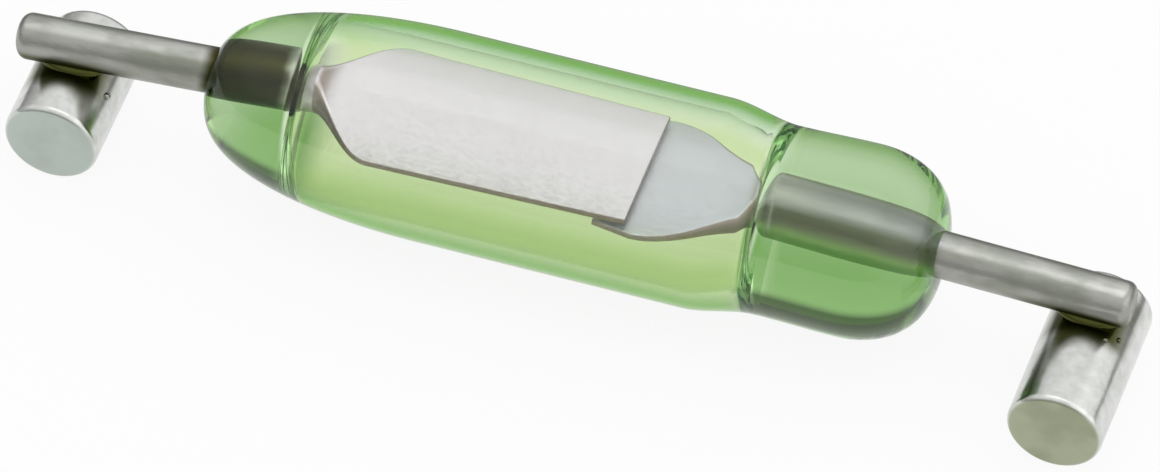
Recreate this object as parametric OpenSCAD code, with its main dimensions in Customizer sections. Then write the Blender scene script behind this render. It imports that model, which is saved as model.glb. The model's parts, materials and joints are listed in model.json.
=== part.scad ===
// Glass reed switch with two cross-welded terminal bars.
// Two flat reeds overlap inside a sealed glass tube, their wires run out through
// the fused ends, and each wire is welded on top of a short round bar.
// The origin is on the board, midway between the bars.
// X runs along the tube, Y along the bars and Z up from the board.

/* [Glass tube] */
// Outside diameter of the tube
tube_d = 1.80; // [1.74:0.02:2.00]
// Wall of the tube round the cavity
tube_wall = 0.13; // [0.10:0.01:0.16]
// Length of the glass from end to end
glass_len = 6.38; // [6.28:0.02:7.00]
// Middle of the glass, measured from the middle between the bars
glass_shift = -0.04; // [-0.30:0.005:0.30]
// Gap between the tube and the board
board_gap = 0.06; // [0.04:0.01:0.20]

/* [Left glass end] */
// Length of the taper that closes the left end
left_taper_len = 2.00; // [1.20:0.05:2.40]
// Length of wire fused into the left end
left_seal_len = 0.80; // [0.60:0.02:1.00]
// Length of the left dome of the cavity
left_dome_len = 0.24; // [0.16:0.02:0.50]

/* [Right glass end] */
// Diameter of the barrel that closes the right end
barrel_d = 1.64; // [1.56:0.02:1.74]
// Length of the barrel's rounded nose
barrel_nose_len = 0.72; // [0.50:0.02:0.85]
// Depth of the waist below the barrel
waist_depth = 0.015; // [0:0.005:0.03]
// Distance of the waist from the right end
waist_back = 1.42; // [1.36:0.02:1.60]
// Length of the shoulder between the tube and the waist
shoulder_len = 0.62; // [0.40:0.02:0.80]
// Length of wire fused into the right end
right_seal_len = 1.40; // [1.20:0.02:1.50]
// Length of the right dome of the cavity
right_dome_len = 0.22; // [0.16:0.02:0.40]

/* [Reeds] */
// Diameter of the wire that each reed is made from
wire_d = 0.40; // [0.36:0.01:0.44]
// Length of bare round wire between the left seal and its blade
left_neck_len = 0.20; // [0.10:0.02:0.26]
// Length of bare round wire between the right seal and its blade
right_neck_len = 0.04; // [0.02:0.02:0.14]
// Gap left between the edges of the upper blade and the glass round them
blade_clear = 0.05; // [0.03:0.005:0.15]
// Length over which the left wire flattens into its blade
left_flare_len = 0.60; // [0.50:0.05:0.90]
// Length over which the right wire flattens into its blade
right_flare_len = 1.05; // [0.80:0.05:1.10]
// Share of the wire's section that is left where it is pressed out flat
pressed_share = 0.60; // [0.50:0.05:1.00]
// How much narrower each blade is at its tip than at its shoulder
tip_taper = 0.10; // [0:0.02:0.30]
// Open gap between the two blades
contact_gap = 0.03; // [0.02:0.005:0.06]
// Height of the upper blade's middle above the tube's centre
blade_rise = 0.24; // [0.16:0.01:0.28]
// Tip of the left blade, measured from the middle of the glass
contact_x = 0.645; // [0.30:0.005:0.70]
// Length over which the blades overlap
contact_overlap = 0.28; // [0.24:0.02:0.44]

/* [Terminal bars] */
// Distance between the two bars
bar_pitch = 8.90; // [8.60:0.05:9.60]
// Diameter of each bar
bar_d = 0.82; // [0.76:0.02:0.90]
// Length of the left bar
left_bar_len = 1.22; // [1.10:0.02:2.00]
// Length of the right bar
right_bar_len = 1.52; // [1.30:0.02:2.00]
// Rounding of the bar's end edges
bar_edge_r = 0.07; // [0.03:0.01:0.15]
// Left bar's middle, measured from its wire
left_bar_shift = -0.03; // [-0.20:0.01:0.20]
// Right bar's middle, measured from its wire
right_bar_shift = -0.30; // [-0.36:0.02:0.20]
// Depth that each wire is welded down into its bar
weld_depth = 0.03; // [0.02:0.01:0.06]
// Left wire's length past the middle of its bar
left_wire_past = 0.46; // [0.35:0.01:0.60]
// Right wire's length past the middle of its bar
right_wire_past = 0.35; // [0.30:0.01:0.60]
// Rounding of the cut wire ends
wire_edge_r = 0.09; // [0.03:0.01:0.15]

/* [Hidden] */
$fn = 72;

// How blunt the closed glass ends are: 1 is an ellipse, less is blunter
left_end_power = 0.64;
barrel_end_power = 0.62;
dome_power = 0.45;
// How soon the blade widens out of its wire, and how much wider than the wire it starts
flare_power = 0.8;
root_spread = 1.02;
// Points along a glass end, along the flare, round a blade's edge and round a turned corner
end_steps = 16;
flare_steps = 12;
edge_steps = 6;
corner_steps = 6;
// Step that keeps two joined outlines from sharing a point
outline_step = 0.01;

tube_r = tube_d / 2;
wire_r = wire_d / 2;
bar_r = bar_d / 2;
barrel_r = barrel_d / 2;
bore_r = tube_r - tube_wall;
waist_r = barrel_r - waist_depth;
throat_r = waist_r - tube_wall;

// Heights
axis_z = tube_r + board_gap;
lead_z = bar_d - weld_depth + wire_r;

// Stations along the tube
glass_x0 = glass_shift - glass_len / 2;
glass_x1 = glass_shift + glass_len / 2;
cavity_x0 = glass_x0 + left_seal_len;
cavity_x1 = glass_x1 - right_seal_len;
waist_x = glass_x1 - waist_back;
nose_x = glass_x1 - barrel_nose_len;
left_bar_x = -bar_pitch / 2;
right_bar_x = bar_pitch / 2;
left_root_x = cavity_x0 + left_neck_len;
right_root_x = cavity_x1 - right_neck_len;
left_tip_x = glass_shift + contact_x;
right_tip_x = left_tip_x - contact_overlap;

// The blade's shoulder is as wide as the bore allows at its height.
// The pressed section keeps its area along the blade, so the narrower tip is thicker.
shoulder_w = 2 * sqrt(pow(bore_r - blade_clear, 2) - pow(blade_rise, 2));
tip_w = shoulder_w - tip_taper;
left_blade_z = axis_z + blade_rise;
right_blade_z = left_blade_z - coined_t(tip_w, pressed_share) - contact_gap;

// Each wire rises straight from its bar to its blade
left_run = left_root_x - left_bar_x;
right_run = right_bar_x - right_root_x;
left_rise = (left_blade_z - lead_z) / (left_run + left_flare_len / 2);
right_rise = (right_blade_z - lead_z) / (right_run + right_flare_len / 2);
left_root_z = lead_z + left_run * left_rise;
right_root_z = lead_z + right_run * right_rise;

function ease(s) = s * s * (3 - 2 * s);

// Thickness of a section that is w wide and holds the given share of the wire's area
function coined_t(w, share) =
    let (corner = 1 - PI / 4, area = share * PI * wire_r * wire_r)
    (w - sqrt(w * w - 4 * corner * area)) / (2 * corner);

// Closed end of a tube, from the axis out to the full radius, with a small flat at its tip
function blunt_end(x, way, len, r, power) = [
    for (i = [0 : end_steps])
        let (a = 90 * i / end_steps, depth = i < 2 ? 0 : 1 - cos(a))
        [r * pow(sin(a), power), x + way * len * depth]
];

// Smooth change of radius between two stations
function swell(x0, r0, x1, r1) = [
    for (i = [0 : end_steps])
        let (s = i / end_steps)
        [r0 + (r1 - r0) * ease(s), x0 + (x1 - x0) * s]
];

function backwards(list) = [for (i = [len(list) - 1 : -1 : 0]) list[i]];

glass_outline = concat(
    blunt_end(glass_x0, 1, left_taper_len, tube_r, left_end_power),
    swell(waist_x - shoulder_len, tube_r, waist_x, waist_r),
    swell(waist_x + outline_step, waist_r, nose_x - outline_step, barrel_r),
    backwards(blunt_end(glass_x1, -1, barrel_nose_len, barrel_r, barrel_end_power))
);

// The bore narrows with the shoulder, so that the wall keeps its thickness
cavity_outline = concat(
    blunt_end(cavity_x0, 1, left_dome_len, bore_r, dome_power),
    swell(waist_x - shoulder_len, bore_r, cavity_x1 - right_dome_len - outline_step, throat_r),
    backwards(blunt_end(cavity_x1, -1, right_dome_len, throat_r, dome_power))
);

// Rounded corner of a turned end
function turned_corner(r, z, edge_r) = [
    for (i = [0 : corner_steps])
        let (a = 90 * i / corner_steps)
        [r - edge_r + edge_r * cos(a), z - edge_r + edge_r * sin(a)]
];

module along_x() {
    translate([0, 0, axis_z]) rotate([0, 90, 0]) children();
}

module left_wire() {
    reach = left_run / cos(atan(left_rise)) + left_wire_past;
    translate([left_root_x, 0, left_root_z])
        rotate([0, -90 - atan(left_rise), 0]) wire(reach);
}

module right_wire() {
    reach = right_run / cos(atan(right_rise)) + right_wire_past;
    translate([right_root_x, 0, right_root_z])
        rotate([0, 90 + atan(right_rise), 0]) wire(reach);
}

module wire(reach) {
    rotate_extrude()
        polygon(concat([[0, 0], [wire_r, 0]], turned_corner(wire_r, reach, wire_edge_r), [[0, reach]]));
}

// Outline of flattened wire: two round edges joined by flats
function flat_section(w, share) =
    let (t = coined_t(w, share))
    concat(
        [for (i = [0 : edge_steps])
            let (a = -90 + 180 * i / edge_steps)
            [(w - t) / 2 + t / 2 * cos(a), t / 2 * sin(a)]],
        [for (i = [0 : edge_steps])
            let (a = 90 + 180 * i / edge_steps)
            [-(w - t) / 2 + t / 2 * cos(a), t / 2 * sin(a)]]
    );

function placed(section, x, z, tilt) = [
    for (p = section) [x - p[1] * sin(tilt), p[0], z + p[1] * cos(tilt)]
];

// Wire pressed into a blade: the section changes from round to flat along the flare,
// and narrows again to the tip
module reed_blade(length, rise, flare_len) {
    root_w = wire_d * root_spread;
    rings = concat(
        [for (i = [0 : flare_steps])
            let (
                s = i / flare_steps,
                w = root_w + (shoulder_w - root_w) * ease(pow(s, flare_power)),
                share = 1 - (1 - pressed_share) * ease(s),
                up = flare_len * rise * (s - s * s / 2)
            )
            placed(flat_section(w, share), flare_len * s, up, atan(rise) * (1 - s))],
        [placed(flat_section(tip_w, pressed_share), length, flare_len * rise / 2, 0)]
    );
    n = len(rings[0]);
    last = len(rings) - 1;
    points = [for (ring = rings) for (p = ring) p];
    sides = [
        for (i = [0 : last - 1]) for (j = [0 : n - 1])
            let (a = i * n + j, b = i * n + (j + 1) % n)
            each [[a, b, b + n], [a, b + n, a + n]]
    ];
    root_face = [[for (j = [n - 1 : -1 : 0]) j]];
    tip_face = [[for (j = [0 : n - 1]) last * n + j]];
    polyhedron(points, concat(sides, root_face, tip_face));
}

module round_bar(length) {
    rotate([90, 0, 0]) rotate_extrude()
        polygon(concat(
            [[0, -length / 2]],
            [for (p = backwards(turned_corner(bar_r, length / 2, bar_edge_r))) [p[0], -p[1]]],
            turned_corner(bar_r, length / 2, bar_edge_r),
            [[0, length / 2]]
        ));
}

module glass_envelope() {
    color([0.55, 0.76, 0.42, 0.45])
    difference() {
        along_x() rotate_extrude() polygon(glass_outline);
        along_x() rotate_extrude() polygon(cavity_outline);
        left_wire();
        right_wire();
    }
}

module left_lead() {
    color([0.66, 0.67, 0.62]) left_wire();
}

module right_lead() {
    color([0.66, 0.67, 0.62]) right_wire();
}

module left_blade() {
    color([0.90, 0.90, 0.87])
    translate([left_root_x, 0, left_root_z])
        reed_blade(left_tip_x - left_root_x, left_rise, left_flare_len);
}

module right_blade() {
    color([0.80, 0.84, 0.83])
    translate([right_root_x, 0, right_root_z]) rotate([0, 0, 180])
        reed_blade(right_root_x - right_tip_x, right_rise, right_flare_len);
}

module left_terminal_bar() {
    color([0.80, 0.81, 0.79])
    difference() {
        translate([left_bar_x, left_bar_shift, bar_r]) round_bar(left_bar_len);
        left_wire();
    }
}

module right_terminal_bar() {
    color([0.80, 0.81, 0.79])
    difference() {
        translate([right_bar_x, right_bar_shift, bar_r]) round_bar(right_bar_len);
        right_wire();
    }
}

glass_envelope();
left_lead();
left_blade();
left_terminal_bar();
right_lead();
right_blade();
right_terminal_bar();
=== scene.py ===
import json
import math

import bmesh
import bpy
from mathutils import Euler, Matrix, Vector


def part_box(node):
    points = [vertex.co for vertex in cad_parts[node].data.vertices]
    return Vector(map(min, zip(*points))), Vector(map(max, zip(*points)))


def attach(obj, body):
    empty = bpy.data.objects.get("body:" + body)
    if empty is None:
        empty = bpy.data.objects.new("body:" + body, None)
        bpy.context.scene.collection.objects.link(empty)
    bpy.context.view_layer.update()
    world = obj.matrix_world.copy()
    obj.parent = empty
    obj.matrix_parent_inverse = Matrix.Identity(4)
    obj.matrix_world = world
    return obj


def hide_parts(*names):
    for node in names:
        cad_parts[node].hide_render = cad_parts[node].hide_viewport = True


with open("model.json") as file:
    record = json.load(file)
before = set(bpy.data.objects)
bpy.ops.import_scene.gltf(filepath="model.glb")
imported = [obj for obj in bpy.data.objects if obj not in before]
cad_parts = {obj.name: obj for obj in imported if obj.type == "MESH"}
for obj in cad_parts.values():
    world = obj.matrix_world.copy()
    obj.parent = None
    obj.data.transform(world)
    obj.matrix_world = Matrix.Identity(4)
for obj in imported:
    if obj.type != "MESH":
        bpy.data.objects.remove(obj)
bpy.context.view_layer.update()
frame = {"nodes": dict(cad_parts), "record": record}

mm = 0.001
scene = bpy.context.scene
joints = {j["name"]: j for j in frame["record"]["behaviour"]["joints"]}
print("frame loaded:", sorted(frame["nodes"]))


# places that the frame gives

def boxOf(node):
    low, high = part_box(node)
    return Vector(low), Vector(high)


def halfWidth(node):
    low, high = boxOf(node)
    return (high.y - low.y) / 2


glassLow, glassHigh = boxOf("glass_envelope")
glassStart = glassLow.x
glassEnd = glassHigh.x
axisZ = (glassLow.z + glassHigh.z) / 2
tubeRadius = halfWidth("glass_envelope")


def axisPoint(x, radius=0.0):
    return Vector((x, 0, axisZ + radius))


# small helpers for meshes

mergeDistance = 1e-8


def ease(s):
    return s * s * (3 - 2 * s)


def spunShell(bm, points, steps):
    # turns a line once round the tube's axis
    verts = [bm.verts.new(p) for p in points]
    line = verts + [bm.edges.new(pair) for pair in zip(verts, verts[1:])]
    bmesh.ops.spin(
        bm, geom=line, cent=axisPoint(0), axis=(1, 0, 0), dvec=(0, 0, 0),
        angle=math.tau, steps=steps, use_merge=True, use_duplicate=False,
    )
    bmesh.ops.remove_doubles(bm, verts=bm.verts, dist=mergeDistance)
    bmesh.ops.recalc_face_normals(bm, faces=bm.faces)


def roundEdges(bm, edges, offset):
    bmesh.ops.bevel(
        bm, geom=edges, offset=offset, segments=8, profile=0.5, affect="EDGES", material=-1,
    )


def finishPiece(name, bm, material, body, node, sharpAngle=40):
    bmesh.ops.remove_doubles(bm, verts=bm.verts, dist=mergeDistance)
    mesh = bpy.data.meshes.new(name)
    bm.to_mesh(mesh)
    bm.free()
    mesh.materials.append(material)
    mesh.shade_smooth()
    mesh.set_sharp_from_angle(angle=math.radians(sharpAngle))
    piece = bpy.data.objects.new(name, mesh)
    scene.collection.objects.link(piece)
    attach(piece, body)
    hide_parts(node)
    print("piece", name, len(mesh.polygons), "faces")


# small helpers for materials

class nodeSheet:
    # the nodes of a material or a world, placed from left to right
    def __init__(self, holder, outputKind="ShaderNodeOutputMaterial"):
        holder.use_nodes = True
        self.tree = holder.node_tree
        self.tree.nodes.clear()
        self.output = self.add(outputKind)

    def add(self, kind, **settings):
        node = self.tree.nodes.new(kind)
        node.location = (220 * len(self.tree.nodes), 0)
        for key, value in settings.items():
            setattr(node, key, value)
        return node

    def link(self, source, target):
        self.tree.links.new(source, target)

    def principled(self, **values):
        shader = self.add("ShaderNodeBsdfPrincipled")
        for key, value in values.items():
            shader.inputs[key].default_value = value
        self.link(shader.outputs["BSDF"], self.output.inputs["Surface"])
        return shader

    def parts(self, kind):
        # X, Y and Z of a place or of the way a face looks
        where = self.add("ShaderNodeTexCoord")
        split = self.add("ShaderNodeSeparateXYZ")
        self.link(where.outputs[kind], split.inputs["Vector"])
        return split.outputs

    def noise(self, stretch, scale, detail, roughness=0.55):
        where = self.add("ShaderNodeTexCoord")
        mapping = self.add("ShaderNodeMapping")
        mapping.inputs["Scale"].default_value = (stretch, 1, 1)
        self.link(where.outputs["Object"], mapping.inputs["Vector"])
        noise = self.add("ShaderNodeTexNoise")
        noise.inputs["Scale"].default_value = scale
        noise.inputs["Detail"].default_value = detail
        noise.inputs["Roughness"].default_value = roughness
        self.link(mapping.outputs["Vector"], noise.inputs["Vector"])
        return noise.outputs["Fac"]

    def ramp(self, value, low, high, outLow=0.0, outHigh=1.0, curve="SMOOTHSTEP"):
        spread = self.add("ShaderNodeMapRange", interpolation_type=curve)
        spread.inputs["From Min"].default_value = low
        spread.inputs["From Max"].default_value = high
        spread.inputs["To Min"].default_value = outLow
        spread.inputs["To Max"].default_value = outHigh
        self.link(value, spread.inputs["Value"])
        return spread.outputs["Result"]

    def fall(self, value, low, high):
        return self.ramp(value, low, high, 1.0, 0.0)

    def window(self, value, low, high, soft):
        # one between low and high, fading to nothing over soft
        rise = self.ramp(value, low - soft, low)
        return self.math("MULTIPLY", rise, self.fall(value, high, high + soft))

    def math(self, operation, first, second=0.0):
        node = self.add("ShaderNodeMath", operation=operation)
        for socket, value in zip(node.inputs, (first, second)):
            if isinstance(value, (int, float)):
                socket.default_value = value
            else:
                self.link(value, socket)
        return node.outputs["Value"]

    def times(self, first, second):
        return self.math("MULTIPLY", first, second)

    def mix(self, share, first, second):
        node = self.add("ShaderNodeMix", data_type="RGBA")
        self.link(share, node.inputs["Factor"])
        for socket, value in ((node.inputs["A"], first), (node.inputs["B"], second)):
            if isinstance(value, tuple):
                socket.default_value = (*value, 1)
            else:
                self.link(value, socket)
        return node.outputs["Result"]

    def bump(self, shader, height, strength, distance):
        bump = self.add("ShaderNodeBump")
        bump.inputs["Strength"].default_value = strength
        bump.inputs["Distance"].default_value = distance
        self.link(height, bump.inputs["Height"])
        self.link(bump.outputs["Normal"], shader.inputs["Normal"])


# camera

cameraFit = {
    "azimuth": 18.0,
    "elevation": 48.0,
    "roll": 0.35,
    "focalPixels": 15000.0,
    "imageWidth": 1160,
    "sensor": 36.0,
    "pixelsPerMm": 120.5,
    "aim": (0.125, -0.355, 0.575),  # mm, at the middle of the picture
    "clip": (1 * mm, 10.0),
}


def makeCamera():
    turn = math.radians(cameraFit["azimuth"])
    lift = math.radians(cameraFit["elevation"])
    out = math.cos(lift)
    back = Vector((math.sin(turn) * out, -math.cos(turn) * out, math.sin(lift)))
    data = bpy.data.cameras.new("photoCamera")
    data.sensor_width = cameraFit["sensor"]
    data.lens = cameraFit["focalPixels"] * cameraFit["sensor"] / cameraFit["imageWidth"]
    data.clip_start, data.clip_end = cameraFit["clip"]
    camera = bpy.data.objects.new("photoCamera", data)
    distance = cameraFit["focalPixels"] / cameraFit["pixelsPerMm"] * mm
    camera.location = Vector(cameraFit["aim"]) * mm + back * distance
    level = (-back).to_track_quat("-Z", "Y")
    roll = Euler((0, 0, math.radians(cameraFit["roll"]))).to_quaternion()
    camera.rotation_euler = (level @ roll).to_euler()
    scene.collection.objects.link(camera)
    scene.camera = camera
    print("camera at", [round(c / mm, 2) for c in camera.location], "mm")


makeCamera()


# green glass tube

glassTube = {
    "wall": 0.13 * mm,
    "leftTaper": 2.00 * mm,
    "leftPower": 0.64,
    "leftSeal": 0.80 * mm,
    "leftDome": 0.24 * mm,
    "barrelRadius": 0.82 * mm,
    "barrelNose": 0.72 * mm,
    "barrelPower": 0.62,
    "waistDepth": 0.015 * mm,
    "waistBack": 1.42 * mm,
    "shoulder": 0.62 * mm,
    "rightSeal": 1.40 * mm,
    "rightDome": 0.22 * mm,
    "domePower": 0.45,
    "endSteps": 40,
    "domeSteps": 30,
    "shoulderSteps": 16,
    "noseSteps": 12,
    "around": 160,
    "sharpAngle": 60,
    "ior": 1.48,
    "absorbColour": (0.42, 0.70, 0.29),
    "absorbDensity": 500.0,
    "filmScale": 900,
    "filmSpread": (0.35, 0.75),
    "filmRoughness": 0.03,
}

# tints of the glass, with the heights over the axis and the slants at which they change
glassTints = {
    # lowerShade is painted shade: the glass is greener and darker below the axis
    "lowerShade": (0.66, 0.80, 0.45),
    "upper": (1.0, 1.0, 0.985),
    "heights": (-0.05 * mm, 0.48 * mm),
    "sealLowerShade": (0.13, 0.32, 0.06),
    "sealUpper": (0.95, 1.0, 0.86),
    "sealHeights": (-0.70 * mm, -0.29 * mm),
    "leftLowered": 0.07 * mm,
    "leftBlend": (-0.05 * mm, 0.30 * mm),  # from the cavity's left end
    "rightBlend": (-0.25 * mm, 0.05 * mm),  # from its right end
    "edgePale": (0.62, 0.84, 0.53),
    "paleSlants": (0.24, 0.42),
    "paleHeights": (0.20 * mm, 0.50 * mm),
    "edgeLower": (0.08, 0.33, 0.01),
    "edgeUpper": (0.05, 0.28, 0.008),
    "edgeSlants": (0.26, 0.70),
    "skinBlend": (0.001 * mm, 0.007 * mm),  # beyond the bore
    "sealEdge": (0.36, 0.62, 0.17),
    "sealSlants": (0.25, 0.75),
    "sealShade": (0.02, 0.045, 0.003),
    "shadeHeights": (-0.36 * mm, -0.06 * mm),
    "shadeSoft": 0.12 * mm,
}


def bluntEnd(x, way, length, radius, power, steps):
    points = []
    for i in range(steps + 1):
        a = math.pi / 2 * i / steps
        along = x + way * length * (1 - math.cos(a))
        points.append(axisPoint(along, radius * math.sin(a) ** power))
    return points


def swell(x0, r0, x1, r1, steps):
    points = []
    for i in range(steps + 1):
        s = i / steps
        points.append(axisPoint(x0 + (x1 - x0) * s, r0 + (r1 - r0) * ease(s)))
    return points


def glassMaterial():
    t = glassTints
    material = bpy.data.materials.new("greenGlass")
    sheet = nodeSheet(material)
    shader = sheet.principled(**{"IOR": glassTube["ior"], "Transmission Weight": 1.0})
    place = sheet.parts("Object")
    rise = sheet.math("SUBTRACT", place["Z"], axisZ)
    slant = sheet.add("ShaderNodeLayerWeight").outputs["Facing"]
    # greener and darker below the axis: painted shade
    tint = sheet.mix(sheet.ramp(rise, *t["heights"]), t["lowerShade"], t["upper"])

    # the solid ends
    leftEnd = glassStart + glassTube["leftSeal"]
    rightEnd = glassEnd - glassTube["rightSeal"]
    left = sheet.fall(place["X"], *[leftEnd + reach for reach in t["leftBlend"]])
    right = sheet.ramp(place["X"], *[rightEnd + reach for reach in t["rightBlend"]])
    ends = sheet.math("ADD", left, right)
    lowered = sheet.math("SUBTRACT", rise, sheet.times(left, t["leftLowered"]))
    # the solid ends are darker green towards their bottom: painted shade
    solid = sheet.mix(sheet.ramp(lowered, *t["sealHeights"]), t["sealLowerShade"], t["sealUpper"])
    tint = sheet.mix(ends, tint, solid)

    # the outer skin is greener where it is seen at a slant
    side = sheet.times(place["Y"], place["Y"])
    radius = sheet.math("SQRT", sheet.math("ADD", sheet.times(rise, rise), side))
    bore = tubeRadius - glassTube["wall"]
    skin = sheet.ramp(radius, *[bore + reach for reach in t["skinBlend"]])
    skin = sheet.times(skin, sheet.math("SUBTRACT", 1.0, ends))
    roof = sheet.times(skin, sheet.ramp(rise, *t["paleHeights"]))
    pale = sheet.times(sheet.ramp(slant, *t["paleSlants"]), roof)
    tint = sheet.mix(pale, tint, t["edgePale"])
    # the rim is a little darker on the upper side than on the lower: painted shade
    edge = sheet.mix(sheet.ramp(rise, -tubeRadius, tubeRadius), t["edgeLower"], t["edgeUpper"])
    tint = sheet.mix(sheet.times(sheet.ramp(slant, *t["edgeSlants"]), skin), tint, edge)
    tint = sheet.mix(sheet.times(sheet.ramp(slant, *t["sealSlants"]), ends), tint, t["sealEdge"])

    # painted shade: the solid ends are dark from outside, a little below the axis
    paintedShade = sheet.times(ends, sheet.window(rise, *t["shadeHeights"], t["shadeSoft"]))
    inside = sheet.add("ShaderNodeNewGeometry").outputs["Backfacing"]
    paintedShade = sheet.times(paintedShade, sheet.math("SUBTRACT", 1.0, inside))
    tint = sheet.mix(paintedShade, tint, t["sealShade"])
    sheet.link(tint, shader.inputs["Base Color"])

    film = sheet.noise(1, glassTube["filmScale"], 3)
    film = sheet.ramp(film, *glassTube["filmSpread"], 0.0, glassTube["filmRoughness"])
    sheet.link(film, shader.inputs["Roughness"])
    absorb = sheet.add("ShaderNodeVolumeAbsorption")
    absorb.inputs["Color"].default_value = (*glassTube["absorbColour"], 1)
    absorb.inputs["Density"].default_value = glassTube["absorbDensity"]
    sheet.link(absorb.outputs["Volume"], sheet.output.inputs["Volume"])
    return material


def makeGlass():
    g = glassTube
    ends = g["endSteps"]
    domes = g["domeSteps"]
    waistX = glassEnd - g["waistBack"]
    shoulderX = waistX - g["shoulder"]
    waistRadius = g["barrelRadius"] - g["waistDepth"]
    noseX = glassEnd - g["barrelNose"]
    nose = bluntEnd(glassEnd, -1, g["barrelNose"], g["barrelRadius"], g["barrelPower"], ends)
    skin = bluntEnd(glassStart, 1, g["leftTaper"], tubeRadius, g["leftPower"], ends)
    skin += swell(shoulderX, tubeRadius, waistX, waistRadius, g["shoulderSteps"])
    skin += swell(waistX, waistRadius, noseX, g["barrelRadius"], g["noseSteps"])[1:-1]
    skin += reversed(nose)

    bore = tubeRadius - g["wall"]
    throat = waistRadius - g["wall"]
    hollowStart = glassStart + g["leftSeal"]
    hollowEnd = glassEnd - g["rightSeal"]
    dome = bluntEnd(hollowEnd, -1, g["rightDome"], throat, g["domePower"], domes)
    hollow = bluntEnd(hollowStart, 1, g["leftDome"], bore, g["domePower"], domes)
    hollow += swell(shoulderX, bore, hollowEnd - g["rightDome"], throat, g["shoulderSteps"])[:-1]
    hollow += reversed(dome)

    outside = bmesh.new()
    spunShell(outside, skin, g["around"])
    inside = bmesh.new()
    spunShell(inside, hollow, g["around"])
    bmesh.ops.reverse_faces(inside, faces=inside.faces)
    spare = bpy.data.meshes.new("hollow")
    inside.to_mesh(spare)
    inside.free()
    outside.from_mesh(spare)
    bpy.data.meshes.remove(spare)
    finishPiece(
        "glassTube", outside, glassMaterial(), "envelope", "glass_envelope",
        g["sharpAngle"],
    )


makeGlass()


# round wires

wire = {
    "weldDepth": 0.03 * mm,
    "endRound": 0.09 * mm,
    "around": 56,
    "metal": (0.27, 0.285, 0.235),
    "streak": (0.38, 0.38, 0.35),
    "streakSpread": (0.35, 0.70),
    "top": (0.58, 0.59, 0.55),
    "topFacing": (0.84, 0.98),
    "topPatches": (0.35, 0.60, 0.45, 1.0),
    "plated": (0.57, 0.53, 0.59),
    "platedSoft": 0.03 * mm,
    "leftHighlightReach": 0.03 * mm,  # how far a painted highlight in the plating colour reaches into the glass, on top
    "rightHighlightReach": 0.60 * mm,
    "sealBlend": (-0.02 * mm, 0.10 * mm),
    "sealHighlightFacing": (0.70, 0.97),
    "sealReflectionFacing": (-0.10, 0.45),
    # tones of the fused length: low side (a painted reflection of the green glass), side, top (a
    # painted highlight)
    "leftSealed": ((0.03, 0.04, 0.004), (0.03, 0.032, 0.004), (0.06, 0.055, 0.015)),
    "rightSealed": ((0.28, 0.43, 0.17), (0.18, 0.185, 0.13), (0.45, 0.42, 0.51)),
    "contactShade": (0.06, 0.065, 0.012),
    "contactShadeFacing": (-0.35, 0.15),
    "contactShadeReach": (0.25 * mm, 0.75 * mm),
    "blotchScale": 3500,
    "wander": 0.12 * mm,
    "roughness": (0.46, 0.28),
    "roughSpread": (0.30, 0.75),
    "drawnScale": 9000,
    "drawnShare": 0.3,
    "dentScale": 6500,
    "dentDepth": 0.02 * mm,
}


def wireAt(barNode, radius):
    # the wire's axis where it lies in the bar
    low, high = boxOf(barNode)
    return Vector(((low.x + high.x) / 2, 0, high.z - wire["weldDepth"] + radius))


def wireMaterial(name, sealStart, sealEnd, cavityX, highlightReach, barX, sealTones):
    w = wire
    material = bpy.data.materials.new(name)
    sheet = nodeSheet(material)
    shader = sheet.principled(Metallic=1.0)
    drawn = sheet.noise(0.12, w["drawnScale"], 5, 0.65)
    blotch = sheet.noise(0.5, w["blotchScale"], 3)
    dents = sheet.noise(0.45, w["dentScale"], 3)
    x = sheet.parts("Object")["X"]
    up = sheet.parts("Normal")["Z"]
    along = sheet.math("ADD", x, sheet.times(blotch, w["wander"]))

    # drawn metal, with a painted highlight in patches along the top
    colour = sheet.mix(sheet.ramp(blotch, *w["streakSpread"]), w["metal"], w["streak"])
    paintedHighlight = sheet.times(sheet.ramp(up, *w["topFacing"]), sheet.ramp(blotch, *w["topPatches"]))
    colour = sheet.mix(paintedHighlight, colour, w["top"])

    # the length that is fused into the glass, lighter on top as a painted highlight and greener
    # on the low side as a painted reflection
    reflectionTone, sideTone, topTone = sealTones
    top = sheet.ramp(up, *w["sealHighlightFacing"])
    flank = sheet.mix(sheet.ramp(up, *w["sealReflectionFacing"]), reflectionTone, sideTone)
    fadeIn = sheet.ramp(along, *[sealStart + reach for reach in w["sealBlend"]])
    fadeOut = sheet.fall(along, *[sealEnd + reach for reach in w["sealBlend"]])
    sealed = sheet.times(fadeIn, fadeOut)
    colour = sheet.mix(sealed, colour, sheet.mix(top, flank, topTone))

    # the plated length inside the cavity
    fromMiddle = sheet.math("ABSOLUTE", x)
    cavity = abs(cavityX)
    plated = sheet.fall(fromMiddle, cavity - w["platedSoft"], cavity + w["platedSoft"])
    colour = sheet.mix(plated, colour, w["plated"])
    # painted highlight in the plating colour along the top, reaching into the glass
    highlightFade = sheet.fall(fromMiddle, cavity, cavity + highlightReach)
    colour = sheet.mix(sheet.times(highlightFade, top), colour, w["plated"])

    # painted shade under the wire where it lies on the bar
    under = sheet.fall(up, *w["contactShadeFacing"])
    away = sheet.math("ABSOLUTE", sheet.math("SUBTRACT", along, barX))
    nearBar = sheet.fall(away, *w["contactShadeReach"])
    colour = sheet.mix(sheet.times(under, nearBar), colour, w["contactShade"])
    sheet.link(colour, shader.inputs["Base Color"])

    rough = sheet.ramp(blotch, *w["roughSpread"], *w["roughness"])
    sheet.link(rough, shader.inputs["Roughness"])
    relief = sheet.math("ADD", dents, sheet.times(drawn, w["drawnShare"]))
    sheet.bump(shader, relief, 0.5, w["dentDepth"])
    return material


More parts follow.
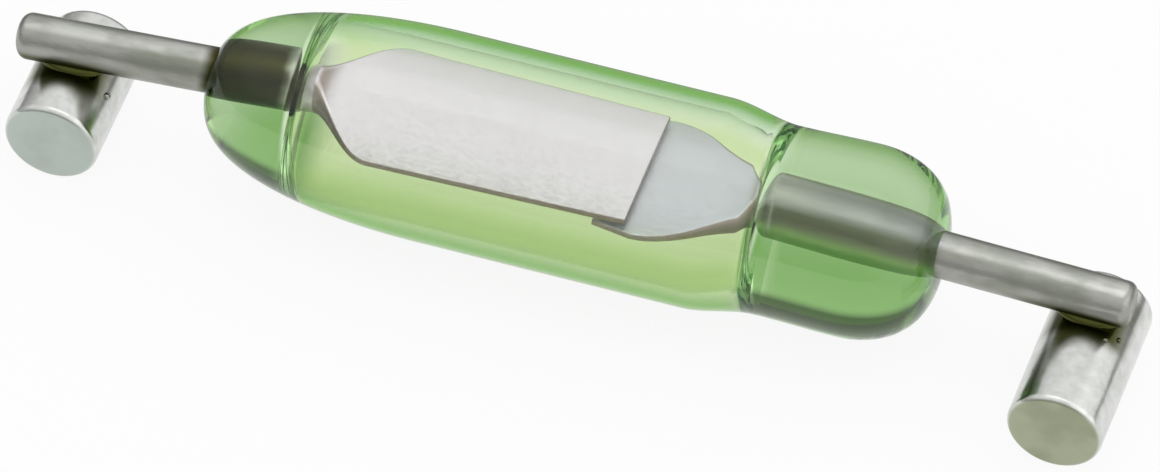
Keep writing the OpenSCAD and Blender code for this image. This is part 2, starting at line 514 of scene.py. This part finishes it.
def makeWire(name, node, jointName, barNode, material):
    root = Vector(joints[jointName]["pos_m"])
    low, high = boxOf(node)
    radius = halfWidth(node)
    way = (wireAt(barNode, radius) - root).normalized()
    tipX = low.x if way.x < 0 else high.x
    length = abs((tipX - root.x) / way.x)
    bm = bmesh.new()
    bmesh.ops.create_circle(bm, cap_ends=True, segments=wire["around"], radius=radius)
    pushed = bmesh.ops.extrude_face_region(bm, geom=bm.faces[:])
    tip = [v for v in pushed["geom"] if isinstance(v, bmesh.types.BMVert)]
    bmesh.ops.translate(bm, verts=tip, vec=(0, 0, length))
    rim = {e for v in tip for e in v.link_edges if all(o in tip for o in e.verts)}
    roundEdges(bm, list(rim), wire["endRound"])
    place = way.to_track_quat("Z", "Y").to_matrix().to_4x4()
    bmesh.ops.transform(bm, matrix=Matrix.Translation(root) @ place, verts=bm.verts)
    bmesh.ops.recalc_face_normals(bm, faces=bm.faces)
    finishPiece(name, bm, material, "envelope", node)


leftCavity = glassStart + glassTube["leftSeal"]
rightCavity = glassEnd - glassTube["rightSeal"]
leftBarX = wireAt("left_terminal_bar", 0).x
rightBarX = wireAt("right_terminal_bar", 0).x
makeWire(
    "leftWire", "left_lead", "left_blade_flex", "left_terminal_bar",
    wireMaterial(
        "leftWireMetal", glassStart, leftCavity, leftCavity, wire["leftHighlightReach"],
        leftBarX, wire["leftSealed"],
    ),
)
makeWire(
    "rightWire", "right_lead", "right_blade_flex", "right_terminal_bar",
    wireMaterial(
        "rightWireMetal", rightCavity, glassEnd, rightCavity, wire["rightHighlightReach"],
        rightBarX, wire["rightSealed"],
    ),
)


# flat reeds

reed = {
    "leftFlare": 0.60 * mm,
    "rightFlare": 1.05 * mm,
    "flarePower": 0.8,
    "rootSpread": 1.02,
    "pressedShare": 0.60,
    "tipTaper": 0.10 * mm,
    "flareSteps": 36,
    "straightSteps": 24,
    "edgeSteps": 12,
    "left": ((0.965, 0.92, 0.985), (0.95, 0.905, 0.97)),
    # the right blade's darker tones are painted shade
    "right": ((0.76, 0.775, 0.84), (0.74, 0.755, 0.82)),
    "cloudScale": 1500,
    "cloudSpread": (0.35, 0.70),
    "edge": (0.40, 0.33, 0.30),
    "edgeShadeFacing": (0.86, 0.995),
    "grainScale": 42000,
    "grainSpread": (0.30, 0.70),
    "grainDepth": 0.0015 * mm,
    "roughness": (0.55, 0.42),
}


def pressedThickness(width, wireRadius, share):
    # the section holds this share of the wire's area
    corner = 1 - math.pi / 4
    area = share * math.pi * wireRadius ** 2
    return (width - math.sqrt(width ** 2 - 4 * corner * area)) / (2 * corner)


def flatPoint(index, count, width, thickness):
    # one point of two round edges joined by flats
    half = count // 2
    side = 1 if index < half else -1
    a = math.pi * (index % half) / (half - 1) - math.pi / 2
    across = (width - thickness) / 2 + thickness / 2 * math.cos(a)
    return side * across, side * thickness / 2 * math.sin(a)


def reedMaterial(name, tones):
    r = reed
    material = bpy.data.materials.new(name)
    sheet = nodeSheet(material)
    shader = sheet.principled(Metallic=1.0)
    grain = sheet.noise(0.5, r["grainScale"], 3, 0.6)
    cloud = sheet.noise(1, r["cloudScale"], 3)
    tone = sheet.mix(sheet.ramp(cloud, *r["cloudSpread"]), *tones)
    flat = sheet.math("ABSOLUTE", sheet.parts("Normal")["Z"])
    # the rounded edges are darkened: painted shade
    tone = sheet.mix(sheet.fall(flat, *r["edgeShadeFacing"]), tone, r["edge"])
    sheet.link(tone, shader.inputs["Base Color"])
    rough = sheet.ramp(grain, *r["grainSpread"], *r["roughness"])
    sheet.link(rough, shader.inputs["Roughness"])
    sheet.bump(shader, grain, 0.12, r["grainDepth"])
    return material


def makeReed(name, node, jointName, barNode, body, flare, material):
    root = Vector(joints[jointName]["pos_m"])
    low, high = boxOf(node)
    inward = 1 if root.x < 0 else -1
    tipX = high.x if inward > 0 else low.x
    length = abs(tipX - root.x)
    width = high.y - low.y
    wireRadius = halfWidth("left_lead")
    rootWidth = 2 * wireRadius * reed["rootSpread"]
    bar = wireAt(barNode, wireRadius)
    rise = (root.z - bar.z) / abs(root.x - bar.x)  # slope of the wire at the root
    count = 2 * (reed["edgeSteps"] + 1)

    # each station: distance, height, tilt, width and thickness
    stations = []
    for i in range(reed["flareSteps"] + 1):
        s = i / reed["flareSteps"]
        wide = rootWidth + (width - rootWidth) * ease(s ** reed["flarePower"])
        thick = pressedThickness(wide, wireRadius, 1 - (1 - reed["pressedShare"]) * ease(s))
        up = flare * rise * (s - s * s / 2)
        stations.append((flare * s, up, math.atan(rise) * (1 - s), wide, thick))
    for i in range(1, reed["straightSteps"] + 1):
        s = i / reed["straightSteps"]
        wide = width - reed["tipTaper"] * s
        thick = pressedThickness(wide, wireRadius, reed["pressedShare"])
        stations.append((flare + (length - flare) * s, flare * rise / 2, 0.0, wide, thick))

    bm = bmesh.new()
    circle = bmesh.ops.create_circle(bm, cap_ends=False, segments=count, radius=wireRadius)
    ring = circle["verts"]
    edges = bm.edges[:]
    for number, (along, up, tilt, wide, thick) in enumerate(stations):
        if number:
            grown = bmesh.ops.extrude_edge_only(bm, edges=edges)["geom"]
            fresh = [v for v in grown if isinstance(v, bmesh.types.BMVert)]
            following = {}
            for v in fresh:
                for e in v.link_edges:
                    other = e.other_vert(v)
                    if other in ring:
                        following[other] = v
            ring = [following[v] for v in ring]
            grownEdges = [e for e in grown if isinstance(e, bmesh.types.BMEdge)]
            edges = [e for e in grownEdges if all(v in fresh for v in e.verts)]
        for index, v in enumerate(ring):
            across, height = flatPoint(index, count, wide, thick)
            v.co = (along - height * math.sin(tilt), across, up + height * math.cos(tilt))
    bmesh.ops.holes_fill(bm, edges=[e for e in bm.edges if e.is_boundary], sides=0)
    turn = Matrix.Rotation(0 if inward > 0 else math.pi, 4, "Z")
    bmesh.ops.transform(bm, matrix=Matrix.Translation(root) @ turn, verts=bm.verts)
    bmesh.ops.recalc_face_normals(bm, faces=bm.faces)
    finishPiece(name, bm, material, body, node)


makeReed(
    "leftReedBlade", "left_blade", "left_blade_flex", "left_terminal_bar",
    "left_reed", reed["leftFlare"],
    reedMaterial("leftReedPlatingAndShade", reed["left"]),
)
makeReed(
    "rightReedBlade", "right_blade", "right_blade_flex", "right_terminal_bar",
    "right_reed", reed["rightFlare"],
    reedMaterial("rightReedPlatingAndShade", reed["right"]),
)


# round terminal bars

terminal = {
    "edgeRound": 0.06 * mm,
    "around": 112,
    "weld": (0.30 * mm, 0.19 * mm, 0.10 * mm),  # half sizes of the melted saddle under the wire
    "weldSink": 0.02 * mm,
    "weldSteps": 20,
    # spatter drops: place along the bar, angle round it, radius
    "leftSpatter": [(-0.16 * mm, 32, 0.035 * mm)],
    "rightSpatter": [(-0.25 * mm, 62, 0.024 * mm), (-0.16 * mm, 46, 0.024 * mm)],
    "spatterSteps": 10,
    "tin": (0.72, 0.73, 0.71),
    "dull": (0.60, 0.61, 0.58),
    "dullScale": 9000,
    "dullSpread": (0.30, 0.75),
    "leftFace": ((0.46, 0.52, 0.48), (0.42, 0.47, 0.43)),
    # the right bar's end face is darker and more olive than the left's: painted shade
    "rightFace": ((0.38, 0.41, 0.29), (0.31, 0.34, 0.23)),
    "faceFacing": (0.55, 0.95),
    "faceSpread": (0.35, 0.65),
    "contactShade": (0.07, 0.075, 0.02),
    "contactShadeAcross": (-0.16 * mm, 0.26 * mm),
    "contactShadeSoft": 0.16 * mm,
    "contactShadeHeights": (0.55 * mm, 0.76 * mm),
    "wander": 0.10 * mm,
    "waveScale": 2600,
    "waveSpread": (0.30, 0.70),
    "waveDepth": 0.02 * mm,
    "roughness": (0.17, 0.25),
}


def tinMaterial(name, faceTones):
    t = terminal
    material = bpy.data.materials.new(name)
    sheet = nodeSheet(material)
    shader = sheet.principled(Metallic=1.0)
    wave = sheet.noise(1, t["waveScale"], 2)
    fine = sheet.noise(1, t["dullScale"], 3)
    place = sheet.parts("Object")
    colour = sheet.mix(sheet.ramp(fine, *t["dullSpread"]), t["tin"], t["dull"])
    cut = sheet.math("ABSOLUTE", sheet.parts("Normal")["Y"])
    face = sheet.mix(sheet.ramp(wave, *t["faceSpread"]), *faceTones)
    # cut end faces in their own tones; the right bar's darker olive face is painted shade
    colour = sheet.mix(sheet.ramp(cut, *t["faceFacing"]), colour, face)
    # painted shade on the bar's top around and under the wire
    across = sheet.math("ADD", place["Y"], sheet.times(wave, t["wander"]))
    barShade = sheet.window(across, *t["contactShadeAcross"], t["contactShadeSoft"])
    barShade = sheet.times(barShade, sheet.ramp(place["Z"], *t["contactShadeHeights"]))
    colour = sheet.mix(barShade, colour, t["contactShade"])
    sheet.link(colour, shader.inputs["Base Color"])
    rough = sheet.ramp(wave, *t["waveSpread"], *t["roughness"])
    sheet.link(rough, shader.inputs["Roughness"])
    sheet.bump(shader, wave, 0.3, t["waveDepth"])
    return material


def addBead(bm, place, size, steps):
    # a round drop, flattened to size
    drop = Matrix.Translation(place) @ Matrix.Diagonal((*size, 1))
    bmesh.ops.create_uvsphere(bm, u_segments=steps * 2, v_segments=steps, radius=1, matrix=drop)


def makeBar(name, node, spatter, material):
    low, high = boxOf(node)
    radius = (high.x - low.x) / 2
    bm = bmesh.new()
    bmesh.ops.create_cone(
        bm, cap_ends=True, segments=terminal["around"], radius1=radius, radius2=radius,
        depth=high.y - low.y,
    )
    rims = [e for e in bm.edges if abs(e.verts[0].co.z - e.verts[1].co.z) < 1e-9]
    roundEdges(bm, rims, terminal["edgeRound"])
    lay = Euler((math.pi / 2, 0, 0)).to_matrix().to_4x4()
    middle = Vector(((low.x + high.x) / 2, (low.y + high.y) / 2, low.z + radius))
    bmesh.ops.transform(bm, matrix=Matrix.Translation(middle) @ lay, verts=bm.verts)
    bmesh.ops.recalc_face_normals(bm, faces=bm.faces)
    weldPlace = Vector((middle.x, 0, high.z - terminal["weldSink"]))
    addBead(bm, weldPlace, terminal["weld"], terminal["weldSteps"])
    for y, angle, size in spatter:
        out = Vector((math.cos(math.radians(angle)), 0, math.sin(math.radians(angle))))
        place = Vector((middle.x, y, middle.z)) + out * radius
        addBead(bm, place, (size, size, size), terminal["spatterSteps"])
    finishPiece(name, bm, material, "envelope", node)


makeBar(
    "leftTerminalBar", "left_terminal_bar", terminal["leftSpatter"],
    tinMaterial("leftTin", terminal["leftFace"]),
)
makeBar(
    "rightTerminalBar", "right_terminal_bar", terminal["rightSpatter"],
    tinMaterial("rightTin", terminal["rightFace"]),
)


# floor, world and lamp

studio = {
    "floorHalf": 0.6,
    "floorColour": (0.86, 0.86, 0.86),
    "cameraWhite": 0.9,
    "glassWhite": 0.85,
    "glossWhite": 0.8,
    "reflectedShadowLevel": 0.15,  # a painted shadow on the floor behind the object, seen in reflections only; it darkens the far rim of the glass
    "reflectedShadowStart": 2.1 * mm,
    "reflectedShadowFade": 0.5 * mm,
    # height of the direction and strength
    "sky": ((0.0, 0.5), (0.3, 0.68), (0.62, 1.12), (0.88, 1.25), (1.0, 1.4)),
    "rightGlow": 0.9,
    "glowReach": (0.3, 0.95),
    "lampSize": (40 * mm, 24 * mm),
    "lampPlace": (0, 4 * mm, 45 * mm),
    "lampPower": 0.0015,
    "bounces": 40,  # light trapped in the glass ends needs many
    "glossyBounces": 32,
}


def makeFloor():
    bm = bmesh.new()
    bmesh.ops.create_grid(bm, x_segments=1, y_segments=1, size=studio["floorHalf"])
    mesh = bpy.data.meshes.new("studioFloor")
    bm.to_mesh(mesh)
    bm.free()
    floor = bpy.data.objects.new("studioFloor", mesh)
    scene.collection.objects.link(floor)
    material = bpy.data.materials.new("whiteFloor")
    sheet = nodeSheet(material)
    diffuse = sheet.add("ShaderNodeBsdfDiffuse")
    diffuse.inputs["Color"].default_value = (*studio["floorColour"], 1)
    glow = sheet.add("ShaderNodeEmission")
    path = sheet.add("ShaderNodeLightPath").outputs
    seen = sheet.times(path["Is Camera Ray"], studio["cameraWhite"])
    through = sheet.times(path["Is Transmission Ray"], studio["glassWhite"])
    mirrored = sheet.times(path["Is Glossy Ray"], studio["glossWhite"])
    share = sheet.math("MAXIMUM", seen, sheet.math("MAXIMUM", through, mirrored))
    # painted shadow behind the object, seen in reflections only
    shadowEnd = studio["reflectedShadowStart"] + studio["reflectedShadowFade"]
    paintedShadow = sheet.ramp(sheet.parts("Object")["Y"], studio["reflectedShadowStart"], shadowEnd)
    paintedShadow = sheet.times(paintedShadow, 1.0 - studio["reflectedShadowLevel"])
    reflected = sheet.math("SUBTRACT", path["Is Glossy Ray"], path["Is Transmission Ray"])
    paintedShadow = sheet.times(paintedShadow, sheet.math("MAXIMUM", reflected))
    sheet.link(sheet.math("SUBTRACT", 1.0, paintedShadow), glow.inputs["Strength"])
    blend = sheet.add("ShaderNodeMixShader")
    sheet.link(share, blend.inputs["Fac"])
    sheet.link(diffuse.outputs["BSDF"], blend.inputs[1])
    sheet.link(glow.outputs["Emission"], blend.inputs[2])
    sheet.link(blend.outputs["Shader"], sheet.output.inputs["Surface"])
    mesh.materials.append(material)


def makeWorld():
    world = bpy.data.worlds.new("studioWorld")
    scene.world = world
    sheet = nodeSheet(world, "ShaderNodeOutputWorld")
    way = sheet.parts("Generated")
    total = sheet.ramp(way["X"], *studio["glowReach"], 0.0, studio["rightGlow"], "LINEAR")
    total = sheet.math("ADD", total, studio["sky"][0][1])
    for (z0, s0), (z1, s1) in zip(studio["sky"], studio["sky"][1:]):
        step = sheet.ramp(way["Z"], z0, z1, 0.0, s1 - s0)
        total = sheet.math("ADD", total, step)
    sky = sheet.add("ShaderNodeBackground")
    sheet.link(total, sky.inputs["Strength"])
    sheet.link(sky.outputs["Background"], sheet.output.inputs["Surface"])


def makeLamp():
    data = bpy.data.lights.new("overheadSoftbox", "AREA")
    data.shape = "RECTANGLE"
    data.size, data.size_y = studio["lampSize"]
    data.energy = studio["lampPower"]
    lamp = bpy.data.objects.new("overheadSoftbox", data)
    lamp.location = studio["lampPlace"]
    lamp.rotation_euler = (-lamp.location).to_track_quat("-Z", "Y").to_euler()
    scene.collection.objects.link(lamp)


makeFloor()
makeWorld()
makeLamp()
scene.view_settings.view_transform = "Standard"
scene.cycles.max_bounces = studio["bounces"]
scene.cycles.transmission_bounces = studio["bounces"]
scene.cycles.glossy_bounces = studio["glossyBounces"]
print("studio ready")
